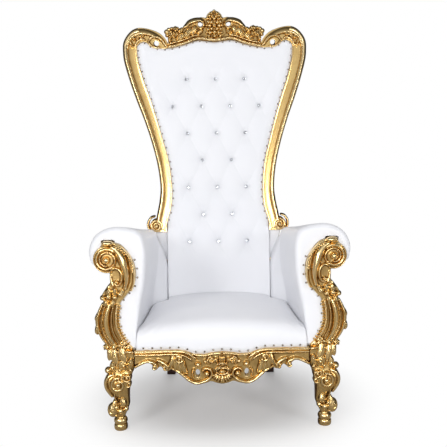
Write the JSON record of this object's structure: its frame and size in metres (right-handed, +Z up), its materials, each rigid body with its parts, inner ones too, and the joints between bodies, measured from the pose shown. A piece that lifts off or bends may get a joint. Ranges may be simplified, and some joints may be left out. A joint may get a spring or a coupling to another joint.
{
  "type": "throne",
  "caption": "Tall carved throne with a gilded scrolled frame, flared shoulders, pierced crest and apron, rolled arms and white buttoned upholstery.",
  "frame": {"origin": "middle of the throne's box on the floor, between the four feet", "axes": "+X to the viewer's right when facing the seat, +Y from the front apron towards the back, +Z up"},
  "size_m": [1.032, 0.8514, 1.778],
  "materials": {
    "gilding": "burnished gold leaf over carved wood, darker in the recesses",
    "white_leather": "soft satin white leather, faintly cool",
    "crystal": "foil-backed faceted stone, bright and glossy",
    "dark_wood": "very dark brown stain, satin"
  },
  "bodies": {
    "root": {"front_leg_left": "gilding", "front_leg_right": "gilding", "rear_leg_left": "dark_wood", "rear_leg_right": "dark_wood", "seat_rail_front": "gilding", "seat_rail_left": "gilding", "seat_rail_right": "gilding", "seat_rail_back": "gilding", "arm_post_left": "gilding", "arm_post_right": "gilding", "back_frame_left": "gilding", "back_frame_right": "gilding", "crest_rail": "gilding", "back_pad": "white_leather", "back_panel": "white_leather", "seat_cushion": "white_leather", "arm_pad_left": "white_leather", "arm_pad_right": "white_leather", "button_1_1": "crystal", "button_1_2": "crystal", "button_1_3": "crystal", "button_2_1": "crystal", "button_2_2": "crystal", "button_2_3": "crystal", "button_2_4": "crystal", "button_3_1": "crystal", "button_3_2": "crystal", "button_3_3": "crystal", "button_4_1": "crystal", "button_4_2": "crystal", "button_5_1": "crystal", "button_5_2": "crystal", "button_5_3": "crystal", "button_6_1": "crystal", "button_6_2": "crystal", "button_7_1": "crystal", "button_7_2": "crystal", "button_7_3": "crystal"}
  },
  "joints": []
}
